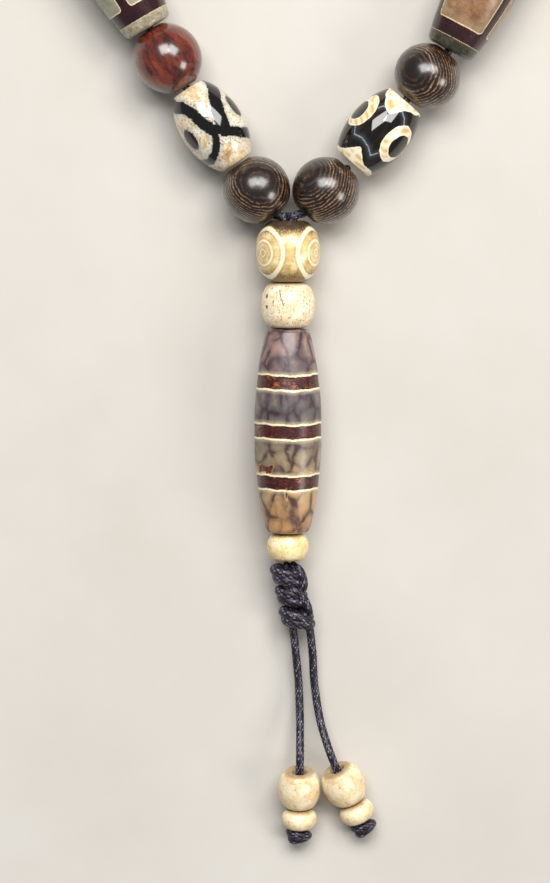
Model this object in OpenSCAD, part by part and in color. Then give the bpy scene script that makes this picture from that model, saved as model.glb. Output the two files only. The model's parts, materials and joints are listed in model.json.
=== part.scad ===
// Mala: a closed loop of threaded beads, a guru bead where its two ends meet,
// and a pendant below it that ends in two knotted tails. It lies flat, face up.

/* [Cord] */
// Diameter of the braided cord
cord_d = 1.5; // [1.3:0.1:1.6]
// Bore of the loop beads, which hold one cord
loop_bore_d = 2.6; // [2.5:0.1:3]
// Bore of the pendant beads, which hold two cords side by side
pendant_bore_d = 3.6; // [3.5:0.1:4]
// Bore of the beads on the tails
tail_bore_d = 2.7; // [2.6:0.1:3]

/* [Loop beads] */
// Diameter of the round wood beads
wood_d = 12; // [11.4:0.1:12.1]
// Length of the round wood beads in the loop
wood_l = 12; // [11.6:0.1:12.2]
// Diameter of the oval agate beads
agate_d = 11.4; // [10.8:0.1:11.8]
// Length of most of the oval agate beads
agate_l = 16; // [15.2:0.1:16]
// Diameter of the long dzi beads at their middle
long_dzi_d = 12.8; // [12:0.1:12.9]
// Diameter of the long dzi beads at their ends
long_dzi_end_d = 8.6; // [7:0.1:9]
// Length of the long dzi beads
long_dzi_l = 38; // [36:0.5:38]
// Length of the wenge bead on each side of the guru bead
first_wenge_l = 11.1; // [10.8:0.1:11.2]
// Space that the loop's cord leaves between two beads
bead_gap = 0.3; // [0.2:0.05:0.4]

/* [Pendant beads] */
// Length of the guru bead
guru_l = 10.8; // [10:0.1:10.9]
// Diameter of the guru bead
guru_d = 11.4; // [10.8:0.1:11.6]
// Length of the long barrel bead
barrel_l = 36.3; // [34:0.1:36.4]
// Diameter of the long barrel bead
barrel_d = 12.1; // [11.4:0.1:12.4]
// Length of the upper bone bead
upper_bone_l = 8; // [7.4:0.1:8]
// Diameter of the upper bone bead
upper_bone_d = 9.7; // [9:0.1:10]
// Length of the lower bone bead
lower_bone_l = 4.9; // [4.5:0.1:4.9]
// Diameter of the lower bone bead
lower_bone_d = 7.5; // [7:0.1:8]

/* [Tail beads] */
// Length of the large bone bead on each tail
large_tail_l = 7; // [6.4:0.1:7]
// Diameter of the large bone bead on each tail
large_tail_d = 7.7; // [7:0.1:7.7]
// Length of the small bone bead on each tail
small_tail_l = 3.6; // [3:0.1:3.6]
// Diameter of the small bone bead on each tail
small_tail_d = 6.4; // [6:0.1:6.6]

/* [Hidden] */
$fn = 72;
cord_r = cord_d / 2;
// Height of the loop's cord above the surface that the mala lies on
cord_z = 6;
// Height of the two pendant cords at the guru and barrel beads
pendant_z = 5.9;
// Half the distance between the two pendant cords
cord_pair = 0.8;
// Cords stop this far short of a place where the strand folds
pivot_gap = 0.3;
// The beads next to a fold are shorter by this much, so that they clear it,
// and so are beads that lean on a neighbour at a bend, by this much a degree
fold_trim = 0.3;
bend_trim = 0.035;

// The layout has the guru bead's centre at x = 0, y = 0, and the pendant runs
// towards -Y. This moves it to the middle of the whole mala's footprint.
layout_to_part = [-1.1, -52.9, 0];
// The loop is symmetric about this x at its four folding points
loop_x = 1.1;
// The arms start at these points, on the far side of the two wenge beads
arm_start_x = 10;
arm_start_y = 15.4;

// Radius of the flat end faces
wood_end_r = 2.2;
agate_end_r = 2.9;
blunt_agate_end_r = 3.6;
guru_end_r = 3.1;
upper_bone_end_r = 3.1;
barrel_end_r = 3.7;
lower_bone_end_r = 2.5;
large_tail_end_r = 2.4;
small_tail_end_r = 2.1;

// How square a bead's side is: 2 is an ellipse, and more is squarer
guru_roundness = 2.3;
upper_bone_roundness = 2.4;
lower_bone_roundness = 2.2;
large_tail_roundness = 2.3;
knot_roundness = 2.2;

// Loop beads in order, from the guru bead round to the middle of the top.
// Each row: name, kind, length, heading in degrees from +X.
LEFT_LOWER = [
    ["agate_left_1", "agate", agate_l, 124],
    ["rosewood_left_1", "rosewood", 11.8, 122],
    ["dzi_left_1", "dzi", long_dzi_l, 120],
    ["wenge_left_2", "wenge", wood_l, 117],
    ["agate_left_2", "blunt_agate", agate_l, 115],
    ["rosewood_left_2", "rosewood", wood_l, 113],
];
LEFT_UPPER = [
    ["dzi_left_2", "dzi", long_dzi_l, 101.5],
    ["wenge_left_3", "wenge", wood_l, 79],
    ["agate_left_3", "agate", agate_l, 65],
    ["rosewood_left_3", "rosewood", wood_l, 52.5],
    ["dzi_left_3", "dzi", long_dzi_l, 30.5],
];
// The right arm is laid out as its mirror image, then mirrored
RIGHT_LOWER = [
    ["agate_right_1", "blunt_agate", 14.7, 131],
    ["wenge_right_2", "wenge", 10.9, 131],
    ["dzi_right_1", "dzi", long_dzi_l, 118],
    ["rosewood_right_2", "rosewood", wood_l, 115],
    ["agate_right_2", "agate", 18.4, 112.5],
    ["wenge_right_3", "wenge", wood_l, 110],
];
RIGHT_UPPER = [
    ["dzi_right_2", "dzi", long_dzi_l, 101.5],
    ["rosewood_right_3", "rosewood", wood_l, 79],
    ["agate_right_3", "agate", agate_l, 65],
    ["wenge_right_4", "wenge", wood_l, 52.5],
    ["dzi_right_3", "dzi", long_dzi_l, 30.5],
];
TOP = [
    ["wenge_top_left", "wenge", wood_l, 18],
    ["agate_top", "agate", agate_l, 0],
    ["rosewood_top_right", "rosewood", wood_l, -18],
];

function is_agate(kind) = kind == "agate" || kind == "blunt_agate";
function bead_d(kind) = is_agate(kind) ? agate_d : kind == "dzi" ? long_dzi_d : wood_d;
function bead_end_r(kind) =
    kind == "agate" ? agate_end_r
        : kind == "blunt_agate" ? blunt_agate_end_r
        : kind == "dzi" ? long_dzi_end_d / 2
        : wood_end_r;
function bead_colour(kind) =
    is_agate(kind) ? "linen" : kind == "dzi" ? "rosybrown" : kind == "wenge" ? "#3a2a20" : "#8a3a1e";
function along(heading) = [cos(heading), sin(heading), 0];

// The points between the beads: point i is where bead i starts
function chain(start, beads, i = 0) =
    i == len(beads) ? [start]
        : concat([start], chain(start + (beads[i][2] + bead_gap) * along(beads[i][3]), beads, i + 1));

lower_left_pts = chain([-arm_start_x, arm_start_y, 0], LEFT_LOWER);
lower_right_pts = chain([-arm_start_x, arm_start_y, 0], RIGHT_LOWER);
fold_side = lower_left_pts[len(LEFT_LOWER)];
upper_pts = chain(fold_side, LEFT_UPPER);
fold_top = upper_pts[len(LEFT_UPPER)];
top_pts = chain(fold_top, TOP);

// A cord as one tube of eight sides, swept along its route
function unit(v) = v / norm(v);
function heading_at(path, i) =
    i == 0 ? unit(path[1] - path[0])
        : i == len(path) - 1 ? unit(path[i] - path[i - 1])
        : unit(unit(path[i] - path[i - 1]) + unit(path[i + 1] - path[i]));
function cord_ring(path, i, r) =
    let (ahead = heading_at(path, i), side = unit(cross(ahead, [0, 0, 1])), up = cross(side, ahead))
        [for (k = [0:7]) path[i] + r * (side * cos(45 * k) + up * sin(45 * k))];
module cord_tube(path) {
    last = 8 * (len(path) - 1);
    points = [for (i = [0:len(path) - 1]) each cord_ring(path, i, cord_r)];
    walls = [
        for (i = [0:len(path) - 2])
            for (k = [0:7])
                [8 * i + k, 8 * i + (k + 1) % 8, 8 * i + 8 + (k + 1) % 8, 8 * i + 8 + k]
    ];
    ends = [[for (k = [7:-1:0]) k], [for (k = [0:7]) last + k]];
    color("#2c2633") polyhedron(points = points, faces = concat(walls, ends));
}

// A turned bead about the Z axis, centred, whose side is a superellipse
module bead(l, r_mid, r_end, bore_r, roundness = 2, steps = 16) {
    drop = 1 - pow(r_end / r_mid, roundness);
    side = [
        for (i = [0:steps])
            let (x = -cos(180 * i / steps))
                [r_mid * pow(1 - drop * pow(abs(x), roundness), 1 / roundness), l / 2 * x]
    ];
    rotate_extrude() polygon(concat([[bore_r, -l / 2]], side, [[bore_r, l / 2]]));
}

// Puts a bead at a point, its axis level at a heading or pitched up by an angle
module place(at, heading, pitch = 0) {
    translate(at) rotate([0, 90 - pitch, heading]) children();
}

// The sharpest angle between bead i of a run and its neighbours
function bend_at(beads, i) =
    max(i == 0 ? 0 : abs(beads[i][3] - beads[i - 1][3]),
        i == len(beads) - 1 ? 0 : abs(beads[i][3] - beads[i + 1][3]));

// Bead i of a run; the first and last lie next to a fold
module run_bead(beads, pts, i) {
    row = beads[i];
    d = bead_d(row[1]);
    middle = (pts[i] + pts[i + 1]) / 2;
    next_to_fold = i == 0 || i == len(beads) - 1;
    trim = (next_to_fold ? fold_trim : 0) + bend_trim * max(0, bend_at(beads, i) - 4);
    color(bead_colour(row[1]))
        place([middle.x, middle.y, d / 2], row[3])
            bead(row[2] - trim, d / 2, bead_end_r(row[1]), loop_bore_d / 2);
}

// The loop's cord through one run of beads, stopping short of the folds
module run_cord(pts) {
    n = len(pts) - 1;
    raised = [for (p = pts) [p.x, p.y, cord_z]];
    first = raised[0] + pivot_gap * unit(raised[1] - raised[0]);
    last = raised[n] - pivot_gap * unit(raised[n] - raised[n - 1]);
    middle = [for (i = [1:n - 1]) raised[i]];
    cord_tube(concat([first], middle, [last]));
}

module at_loop() {
    translate(layout_to_part + [loop_x, 0, 0]) children();
}
module right_arm() {
    at_loop() mirror([1, 0, 0]) children();
}

// Two cords run from the arms through the wenge beads, then side by side
// down the pendant as far as the knots
wenge_left = [-5.53, 10.84];
wenge_right = [6.7, 10.75];
wenge_left_heading = 125;
wenge_right_heading = 47;
pendant_end_y = -55.1;
YOKE_LEFT = [
    [-8.7, 15.1, 6],
    [-5.6, 10.7, 6],
    [-2.5, 6.72, 6],
    [-1.52, 6.3, 5.9],
    [-0.78, 5.3, 5.8],
    [-cord_pair, 3.5, 5.7],
    [-cord_pair, -30, pendant_z],
    [-cord_pair, -49, 5.7],
    [-cord_pair, -52.5, 5.2],
    [-cord_pair, pendant_end_y, 4.8],
];
YOKE_RIGHT = [
    [10.9, 15.1, 6],
    [6.7, 10.7, 6],
    [3.3, 7.1, 6],
    [1.55, 6.4, 5.9],
    [0.78, 5.3, 5.8],
    [cord_pair, 3.5, 5.7],
    [cord_pair, -30, pendant_z],
    [cord_pair, -49, 5.7],
    [cord_pair, -52.5, 5.2],
    [cord_pair, pendant_end_y, 4.8],
];
module cord_yoke() {
    translate(layout_to_part) {
        cord_tube(YOKE_LEFT);
        cord_tube(YOKE_RIGHT);
    }
}

module wenge_bead(at, heading) {
    color("#3a2a20")
        translate(layout_to_part)
            place([at.x, at.y, wood_d / 2], heading)
                bead(first_wenge_l, wood_d / 2, wood_end_r, loop_bore_d / 2);
}

module pendant_bead(colour, at, l, d, end_r, roundness = 2) {
    color(colour)
        translate(layout_to_part)
            place(at, 90)
                bead(l, d / 2, end_r, pendant_bore_d / 2, roundness);
}
module guru_bead() {
    pendant_bead("goldenrod", [0, 0, guru_d / 2], guru_l, guru_d, guru_end_r, guru_roundness);
}
module bone_bead_upper() {
    at = [0, -9.6, 5.3];
    pendant_bead("wheat", at, upper_bone_l, upper_bone_d, upper_bone_end_r, upper_bone_roundness);
}
module barrel_bead() {
    pendant_bead("gray", [0, -31.95, barrel_d / 2], barrel_l, barrel_d, barrel_end_r);
}
module bone_bead_lower() {
    at = [0, -52.75, 5.2];
    pendant_bead("moccasin", at, lower_bone_l, lower_bone_d, lower_bone_end_r, lower_bone_roundness);
}

// The three stacked knots below the pendant: closed solids of their outer shape
module knot(at, l, d, end_r) {
    color("#2c2633")
        translate(layout_to_part)
            place(at, 90)
                bead(l, d / 2, end_r, 0, knot_roundness);
}
module knot_upper() {
    knot([0.2, -57.5, 4.2], 3.8, 6.4, 1.2);
}
module knot_middle() {
    knot([0.9, -61.3, 3.5], 3.6, 6, 1.8);
}
module knot_lower() {
    knot([1.8, -65.2, 3.3], 4, 6.5, 2.9);
}

// The tails leave the lowest knot, hang slack, and rise over the lip of the
// large bead that lies on the surface
TAIL_LEFT = [
    [0.9, -67.7, 3],
    [1.2, -69.8, 2.9],
    [1.5, -73, 2.5],
    [1.9, -77, 2.2],
    [2.1, -81, 2.4],
    [2.2, -85, 3.3],
    [2.2, -88.5, 4.5],
    [2.2, -90.6, 5.2],
    [2.15, -92.4, 5.3],
    [2.1, -94.2, 4.9],
    [2.06, -97, 4],
    [2.03, -100.2, 3.2],
    [2, -104.3, 2.7],
];
TAIL_RIGHT = [
    [3.9, -67.7, 3],
    [4.2, -69.8, 2.9],
    [4.5, -73, 2.5],
    [4.7, -77, 2.2],
    [5.2, -81, 2.4],
    [5.9, -84.8, 3.3],
    [6.9, -88.1, 4.5],
    [7.6, -90.1, 5.2],
    [8.3, -91.9, 5.3],
    [9, -93.6, 4.9],
    [10.2, -96.2, 4],
    [11.6, -99.3, 3.2],
    [13.25, -102.9, 2.7],
];
module tail_cord_left() {
    translate(layout_to_part) cord_tube(TAIL_LEFT);
}
module tail_cord_right() {
    translate(layout_to_part) cord_tube(TAIL_RIGHT);
}

// Beads on a tail: the large one leans back with its mouth up, the small one
// less so, and the end knot lies flat against it
left_tail_heading = 90;
right_tail_heading = 114.6;
left_tail_bead = [2.06, -96.7, 4];
right_tail_bead = [10.1, -96, 4];
large_pitch = 18;
small_pitch = 10;
large_to_small = 5.6;
large_to_knot = 8.9;
small_tail_z = 3.25;
end_knot_z = 2.4;
end_knot_l = 2.2;
end_knot_end_r = 1.6;
module on_tail(bead_at, heading, distance, z, pitch) {
    translate(layout_to_part)
        place([bead_at.x, bead_at.y, z] - distance * along(heading), heading, pitch)
            children();
}
module large_tail_bead(bead_at, heading) {
    color("navajowhite")
        on_tail(bead_at, heading, 0, bead_at.z, large_pitch)
            bead(large_tail_l, large_tail_d / 2, large_tail_end_r, tail_bore_d / 2, large_tail_roundness);
}
module small_tail_bead(bead_at, heading) {
    color("navajowhite")
        on_tail(bead_at, heading, large_to_small, small_tail_z, small_pitch)
            bead(small_tail_l, small_tail_d / 2, small_tail_end_r, tail_bore_d / 2);
}
module end_knot(bead_at, heading) {
    color("#1e1c22")
        on_tail(bead_at, heading, large_to_knot, end_knot_z, 0)
            bead(end_knot_l, end_knot_z, end_knot_end_r, 0);
}

cord_yoke();
at_loop() run_cord(lower_left_pts);  // cord_left_lower
at_loop() run_cord(upper_pts);  // cord_left_upper
at_loop() run_cord(top_pts);  // cord_top
right_arm() run_cord(upper_pts);  // cord_right_upper
right_arm() run_cord(lower_right_pts);  // cord_right_lower
wenge_bead(wenge_left, wenge_left_heading);  // wenge_left_1
wenge_bead(wenge_right, wenge_right_heading);  // wenge_right_1
for (i = [0:len(LEFT_LOWER) - 1])
    at_loop() run_bead(LEFT_LOWER, lower_left_pts, i);
for (i = [0:len(LEFT_UPPER) - 1])
    at_loop() run_bead(LEFT_UPPER, upper_pts, i);
for (i = [0:len(TOP) - 1])
    at_loop() run_bead(TOP, top_pts, i);
for (i = [0:len(RIGHT_LOWER) - 1])
    right_arm() run_bead(RIGHT_LOWER, lower_right_pts, i);
for (i = [0:len(RIGHT_UPPER) - 1])
    right_arm() run_bead(RIGHT_UPPER, upper_pts, i);
guru_bead();
bone_bead_upper();
barrel_bead();
bone_bead_lower();
knot_upper();
knot_middle();
knot_lower();
tail_cord_left();
tail_cord_right();
large_tail_bead(left_tail_bead, left_tail_heading);  // tail_bead_large_left
small_tail_bead(left_tail_bead, left_tail_heading);  // tail_bead_small_left
large_tail_bead(right_tail_bead, right_tail_heading);  // tail_bead_large_right
small_tail_bead(right_tail_bead, right_tail_heading);  // tail_bead_small_right
end_knot(left_tail_bead, left_tail_heading);  // end_knot_left
end_knot(right_tail_bead, right_tail_heading);  // end_knot_right
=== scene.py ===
import json
import math

import bpy
import numpy as np
from mathutils import Matrix, Vector


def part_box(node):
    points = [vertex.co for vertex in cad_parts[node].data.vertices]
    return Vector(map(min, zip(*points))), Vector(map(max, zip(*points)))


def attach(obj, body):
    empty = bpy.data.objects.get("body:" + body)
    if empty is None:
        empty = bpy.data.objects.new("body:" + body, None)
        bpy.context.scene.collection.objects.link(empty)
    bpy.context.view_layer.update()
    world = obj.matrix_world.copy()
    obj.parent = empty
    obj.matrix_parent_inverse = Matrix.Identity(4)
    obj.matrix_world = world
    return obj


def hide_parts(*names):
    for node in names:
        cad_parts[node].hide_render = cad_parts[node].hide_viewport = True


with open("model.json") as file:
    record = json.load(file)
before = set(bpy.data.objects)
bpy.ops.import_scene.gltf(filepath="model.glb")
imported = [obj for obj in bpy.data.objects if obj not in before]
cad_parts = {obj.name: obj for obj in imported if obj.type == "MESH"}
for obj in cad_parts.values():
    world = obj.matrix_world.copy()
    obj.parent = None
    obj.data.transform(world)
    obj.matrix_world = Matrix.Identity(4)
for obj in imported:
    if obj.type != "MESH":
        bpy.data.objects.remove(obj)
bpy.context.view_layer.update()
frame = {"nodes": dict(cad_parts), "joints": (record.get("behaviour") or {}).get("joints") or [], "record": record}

MM = 0.001
JOINTS = {j["name"]: j for j in frame["joints"]}
BODY_OF = {n: b for b, ns in frame["record"]["behaviour"]["bodies"].items() for n in ns}
SLOT_OF = {s["node"]: s["material_slot"] for s in frame["record"]["subparts"]}

# ---------------------------------------------------------------- camera
LOOK_AT = (-3.4, -87.3, 0)
CAMERA_DISTANCE = 700
CAMERA_TILT = 5
CAMERA_LENS = 158.9


def make_camera():
    """Looks down at the pendant from a little north of overhead."""
    tilt = math.radians(CAMERA_TILT)
    data = bpy.data.cameras.new("camera")
    data.lens = CAMERA_LENS
    data.sensor_fit = "VERTICAL"
    data.sensor_height = 36
    data.clip_start = 0.01
    data.clip_end = 10
    camera = bpy.data.objects.new("camera", data)
    bpy.context.scene.collection.objects.link(camera)
    offset = Vector((0, math.sin(tilt), math.cos(tilt))) * CAMERA_DISTANCE
    camera.location = (Vector(LOOK_AT) + offset) * MM
    camera.rotation_euler = (-tilt, 0, 0)
    bpy.context.scene.camera = camera


# ---------------------------------------------------------------- noise
WOBBLE_OCTAVES = 3
WOBBLE_WAVES = 5


def wobble(points, scale, seed):
    """A smooth repeatable noise from -1 to 1 at an N by 3 array of points."""
    rng = np.random.default_rng(seed)
    total = np.zeros(len(points))
    size = 1.0
    for octave in range(WOBBLE_OCTAVES):
        for _ in range(WOBBLE_WAVES):
            direction = rng.normal(size=3)
            direction *= scale * 2 ** octave / np.linalg.norm(direction)
            total += size * np.sin(points @ direction + rng.uniform(0, 2 * math.pi))
        size *= 0.5
    return total / WOBBLE_WAVES


# ---------------------------------------------------------------- meshes
def link_mesh(name, points, faces, smooth=True, attributes=None):
    """points in millimetres; attributes is a dict of one float per point."""
    mesh = bpy.data.meshes.new(name)
    mesh.from_pydata([tuple(p) for p in np.asarray(points) * MM], [], faces)
    mesh.update()
    if smooth:
        mesh.polygons.foreach_set("use_smooth", [True] * len(mesh.polygons))
    for key, values in (attributes or {}).items():
        layer = mesh.attributes.new(key, "FLOAT", "POINT")
        layer.data.foreach_set("value", np.asarray(values, np.float32))
    obj = bpy.data.objects.new(name, mesh)
    bpy.context.scene.collection.objects.link(obj)
    return obj


def grid_faces(rows, columns, closed_rows=False):
    """Faces of a grid that wraps round its columns, and its rows if asked."""
    faces = []
    last = rows if closed_rows else rows - 1
    for i in range(last):
        a = i * columns
        b = ((i + 1) % rows) * columns
        for k in range(columns):
            n = (k + 1) % columns
            faces.append((a + k, a + n, b + n, b + k))
    return faces


# ---------------------------------------------------------------- cords
CORD_RADIUS = 0.75
BRAID_AROUND = 4
BRAID_PITCH = 0.95
BRAID_DEPTH = 0.1


def smooth_path(points, step):
    """A Catmull-Rom curve through the points, sampled about every step millimetres."""
    p = np.asarray(points, float)
    p = np.vstack([2 * p[0] - p[1], p, 2 * p[-1] - p[-2]])
    out = []
    for i in range(1, len(p) - 2):
        a, b, c, d = p[i - 1:i + 3]
        n = max(2, int(np.linalg.norm(c - b) / step))
        for t in np.linspace(0, 1, n, endpoint=False):
            out.append(0.5 * (2 * b + (c - a) * t + (2 * a - 5 * b + 4 * c - d) * t ** 2
                              + (3 * b - a - 3 * c + d) * t ** 3))
    out.append(p[-2])
    return np.array(out)


def tube_frames(path):
    """A side and an up vector at each point that turn as little as they can."""
    ahead = np.gradient(path, axis=0)
    ahead /= np.linalg.norm(ahead, axis=1)[:, None]
    side = np.cross(ahead[0], (0, 0, 1.0))
    if np.linalg.norm(side) < 0.1:
        side = np.cross(ahead[0], (0, 1.0, 0))
    sides = []
    for t in ahead:
        side = side - t * np.dot(side, t)
        side /= np.linalg.norm(side)
        sides.append(side)
    sides = np.array(sides)
    return sides, np.cross(sides, ahead)


def braid(name, path, around=28, radius=CORD_RADIUS):
    """A round-ended braided cord along a dense path: raised diamond strands with grooves between."""
    sides, ups = tube_frames(path)
    steps = np.linalg.norm(np.diff(path, axis=0), axis=1)
    length = np.concatenate([[0], np.cumsum(steps)])
    angles = np.arange(around) * 2 * math.pi / around
    theta, s = np.meshgrid(angles, length)
    phase = math.pi * s / BRAID_PITCH
    a = BRAID_AROUND * theta + phase
    b = BRAID_AROUND * theta - phase
    lift = np.sqrt(np.abs(np.sin(a) * np.sin(b)))
    # A repeatable scatter from 0 to 1, one value for each diamond of the braid, which picks the diamonds that get
    # a painted highlight
    strand = np.floor(a / math.pi) * 3.7 + np.floor(b / math.pi) * 7.3
    highlight_scatter = (np.sin(strand * 12.9898) * 43758.5453) % 1.0
    r = radius - BRAID_DEPTH + BRAID_DEPTH * lift
    reach = np.minimum(length, length[-1] - length)
    r *= np.sqrt(np.clip(1 - (1 - np.clip(reach / radius, 0, 1)) ** 2, 0.02, 1))[:, None]
    points = (path[:, None, :] + r[:, :, None] * (np.cos(theta)[:, :, None] * sides[:, None, :]
                                                 + np.sin(theta)[:, :, None] * ups[:, None, :]))
    rows = len(path)
    faces = grid_faces(rows, around)
    faces.append(tuple(range(around))[::-1])
    faces.append(tuple((rows - 1) * around + k for k in range(around)))
    faces = [f[::-1] for f in faces]
    return link_mesh(name, points.reshape(-1, 3), faces,
                     attributes={"lift": lift.ravel(), "highlight_scatter": highlight_scatter.ravel()})


# ---------------------------------------------------------------- node helper
class Paint:
    """A short way to write a procedural material."""

    def __init__(self, name, roughness, specular=0.5, coat=0.0, coat_roughness=0.1, coat_ior=1.5):
        self.material = bpy.data.materials.new(name)
        self.material.use_nodes = True
        self.tree = self.material.node_tree
        self.shader = self.tree.nodes["Principled BSDF"]
        self.shader.inputs["Roughness"].default_value = roughness
        self.shader.inputs["Specular IOR Level"].default_value = specular
        self.shader.inputs["Coat Weight"].default_value = coat
        self.shader.inputs["Coat Roughness"].default_value = coat_roughness
        self.shader.inputs["Coat IOR"].default_value = coat_ior
        self.where = self.tree.nodes.new("ShaderNodeTexCoord").outputs["Object"]

    def feed(self, socket, value):
        if isinstance(value, bpy.types.NodeSocket):
            self.tree.links.new(value, socket)
        elif isinstance(value, str):
            socket.default_value = colour(value)
        else:
            socket.default_value = value

    def math(self, operation, a, b=0.0, clamp=False):
        node = self.tree.nodes.new("ShaderNodeMath")
        node.operation = operation
        node.use_clamp = clamp
        self.feed(node.inputs[0], a)
        self.feed(node.inputs[1], b)
        return node.outputs[0]

    def move(self, scale=(1, 1, 1), rotation=(0, 0, 0), offset=(0, 0, 0)):
        """The local place in millimetres, scaled and turned."""
        node = self.tree.nodes.new("ShaderNodeMapping")
        self.feed(node.inputs["Vector"], self.where)
        node.inputs["Scale"].default_value = [1000 * v for v in scale]
        node.inputs["Rotation"].default_value = [math.radians(v) for v in rotation]
        node.inputs["Location"].default_value = offset
        return node.outputs[0]

    def noise(self, scale, detail=3.0, roughness=0.5, distortion=0.0, vector=None):
        node = self.tree.nodes.new("ShaderNodeTexNoise")
        self.feed(node.inputs["Vector"], vector or self.move())
        node.inputs["Scale"].default_value = scale
        node.inputs["Detail"].default_value = detail
        node.inputs["Roughness"].default_value = roughness
        node.inputs["Distortion"].default_value = distortion
        return node.outputs["Fac"]

    def wave(self, scale, distortion, detail=2.0, detail_scale=1.0, vector=None):
        node = self.tree.nodes.new("ShaderNodeTexWave")
        self.feed(node.inputs["Vector"], vector or self.move())
        node.inputs["Scale"].default_value = scale
        node.inputs["Distortion"].default_value = distortion
        node.inputs["Detail"].default_value = detail
        node.inputs["Detail Scale"].default_value = detail_scale
        return node.outputs["Fac"]

    def cell_edges(self, scale, vector):
        """The distance to the nearest edge between irregular cells."""
        node = self.tree.nodes.new("ShaderNodeTexVoronoi")
        node.feature = "DISTANCE_TO_EDGE"
        self.feed(node.inputs["Vector"], vector)
        node.inputs["Scale"].default_value = scale
        return node.outputs["Distance"]

    def bent_place(self, scale, noise_scale):
        """The local place in millimetres, pushed about by a coarse noise."""
        push = self.tree.nodes.new("ShaderNodeTexNoise")
        push.inputs["Scale"].default_value = noise_scale
        self.feed(push.inputs["Vector"], self.move())
        node = self.tree.nodes.new("ShaderNodeVectorMath")
        node.operation = "ADD"
        self.feed(node.inputs[0], self.move(scale))
        self.feed(node.inputs[1], push.outputs["Color"])
        return node.outputs[0]

    def attribute(self, name):
        node = self.tree.nodes.new("ShaderNodeAttribute")
        node.attribute_name = name
        return node.outputs["Fac"]

    def along(self):
        """Millimetres along the bead's axis from its middle."""
        node = self.tree.nodes.new("ShaderNodeSeparateXYZ")
        self.feed(node.inputs[0], self.move())
        return node.outputs["Z"]

    def step(self, value, low, high):
        """0 below low and 1 above high, smoothly; low may be above high."""
        node = self.tree.nodes.new("ShaderNodeMapRange")
        node.interpolation_type = "SMOOTHSTEP"
        self.feed(node.inputs["Value"], value)
        if low < high:
            bounds = (low, high, 0.0, 1.0)
        else:
            bounds = (high, low, 1.0, 0.0)
        for key, number in zip(("From Min", "From Max", "To Min", "To Max"), bounds):
            node.inputs[key].default_value = number
        return node.outputs[0]

    def ramp(self, factor, *stops):
        """stops are (place, colour)."""
        node = self.tree.nodes.new("ShaderNodeValToRGB")
        self.feed(node.inputs[0], factor)
        elements = node.color_ramp.elements
        while len(elements) < len(stops):
            elements.new(0.5)
        for element, (place, tint) in zip(elements, stops):
            element.position = place
            element.color = colour(tint)
        return node.outputs["Color"]

    def mix(self, factor, a, b):
        node = self.tree.nodes.new("ShaderNodeMix")
        node.data_type = "RGBA"
        self.feed(node.inputs[0], factor)
        self.feed(node.inputs[6], a)
        self.feed(node.inputs[7], b)
        return node.outputs[2]

    def base(self, value):
        self.feed(self.shader.inputs["Base Color"], value)

    def rough(self, value):
        self.feed(self.shader.inputs["Roughness"], value)

    def bump(self, height, strength, depth=0.05):
        node = self.tree.nodes.new("ShaderNodeBump")
        self.feed(node.inputs["Height"], height)
        node.inputs["Strength"].default_value = strength
        node.inputs["Distance"].default_value = depth * MM
        self.tree.links.new(node.outputs[0], self.shader.inputs["Normal"])


def colour(text):
    """A linear colour from an sRGB hex string."""
    values = [int(text[i:i + 2], 16) / 255 for i in (1, 3, 5)]
    return [v / 12.92 if v <= 0.04045 else ((v + 0.055) / 1.055) ** 2.4 for v in values] + [1.0]


# ---------------------------------------------------------------- materials
# The thickness of one layer of the wenge wood
WENGE_LAYER = 0.5


def cord_paint():
    p = Paint("braided_cord_look", 0.4, specular=0.4)
    lift, highlight_scatter = p.attribute("lift"), p.attribute("highlight_scatter")
    yarn = p.noise(3.0, 2.0, 0.6, vector=p.move((2.2, 2.2, 2.2)))
    # Painted shade: the grooves between the strands are painted near black, and the raised strands a lighter
    # grey-purple
    body = p.ramp(lift, (0.0, "#030204"), (0.5, "#110c15"), (1.0, "#302839"))
    # Painted highlight: pale lilac-grey spots on the raised tops of scattered strands
    pale = p.math("MULTIPLY", p.step(highlight_scatter, 0.4, 0.7), p.step(lift, 0.45, 0.9))
    pale = p.math("MULTIPLY", pale, p.step(yarn, 0.38, 0.6))
    p.base(p.mix(p.math("MULTIPLY", pale, 0.8), body, "#aaa2bb"))
    p.bump(yarn, 0.5, 0.05)
    return p.material


def wenge_paint():
    """Nearly black wood with fine broken tan lines: thin layers that a round bead cuts as loops."""
    p = Paint("wenge_look", 0.36, specular=0.25, coat=0.9, coat_roughness=0.2, coat_ior=1.6)
    wander = p.noise(0.2, 2.0, 0.5)
    ripple = p.noise(1.1, 3.0, 0.6)
    layer = p.math("ADD", p.attribute("grain"), p.math("MULTIPLY", wander, 1.3))
    layer = p.math("ADD", layer, p.math("MULTIPLY", ripple, 0.26))
    wave = p.math("SINE", p.math("MULTIPLY", layer, 2 * math.pi / WENGE_LAYER))
    fine = p.noise(4.0, 4.0, 0.7)
    wave = p.math("ADD", wave, p.math("MULTIPLY", p.math("SUBTRACT", fine, 0.5), 1.8))
    breaks = p.noise(0.6, 4.0, 0.7, 0.3, vector=p.move(offset=(4, 2, 6)))
    mask = p.math("MULTIPLY", p.step(wave, 0.2, 0.8), p.step(breaks, 0.34, 0.54))
    bare = p.math("MULTIPLY", p.step(p.attribute("grain"), 4.5, 5.3), 0.8)
    mask = p.math("MULTIPLY", mask, p.math("SUBTRACT", 1.0, bare))
    brown = p.ramp(p.noise(2.0, 4.0, 0.7), (0.34, "#432c1c"), (0.5, "#7c5a3d"), (0.68, "#b2906d"))
    dark = p.ramp(p.noise(0.4, 3.0, 0.6), (0.3, "#0b0605"), (0.7, "#21130e"))
    p.base(p.mix(p.math("MULTIPLY", mask, 0.92), dark, brown))
    p.bump(p.math("ADD", p.math("MULTIPLY", mask, -0.8), fine), 0.25, 0.03)
    return p.material


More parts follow.
